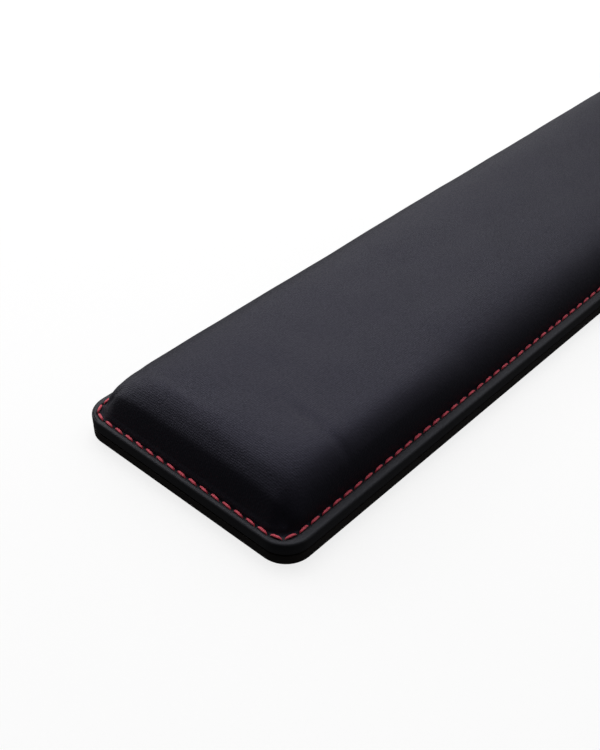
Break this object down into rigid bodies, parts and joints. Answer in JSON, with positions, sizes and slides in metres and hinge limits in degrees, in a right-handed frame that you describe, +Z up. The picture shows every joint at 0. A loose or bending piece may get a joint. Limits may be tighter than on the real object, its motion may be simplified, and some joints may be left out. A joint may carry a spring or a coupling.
{
  "type": "wrist rest",
  "caption": "Long padded wrist rest: a stitched faux-leather cushion on a stiff board with a rubber base, to lie in front of a keyboard.",
  "frame": {"origin": "middle of the underside, on the desk", "axes": "+X along the keyboard, +Y from the user to the keyboard, +Z up"},
  "size_m": [0.44, 0.09, 0.0224],
  "materials": {
    "base_rubber": "matte, fine anti-slip texture",
    "foam_tape": "matte closed-cell foam",
    "filler_felt": "pressed felt",
    "glue": "dried contact glue",
    "board": "pressed hardboard",
    "pad_tape": "double-sided tissue tape",
    "foam": "open-cell slow-recovery foam",
    "cover_leather": "black faux leather, fine dotted emboss, soft sheen",
    "red_thread": "twisted polyester sewing thread",
    "black_thread": "twisted polyester sewing thread"
  },
  "bodies": {
    "root": {"anti_slip_base": "base_rubber", "base_tape": "foam_tape", "hem_filler": "filler_felt", "hem_glue": "glue", "stiffener_board": "board", "foam_tape": "pad_tape", "foam_pad": "foam", "leather_cover": "cover_leather", "needle_thread": "red_thread", "bobbin_thread": "black_thread"}
  },
  "joints": []
}
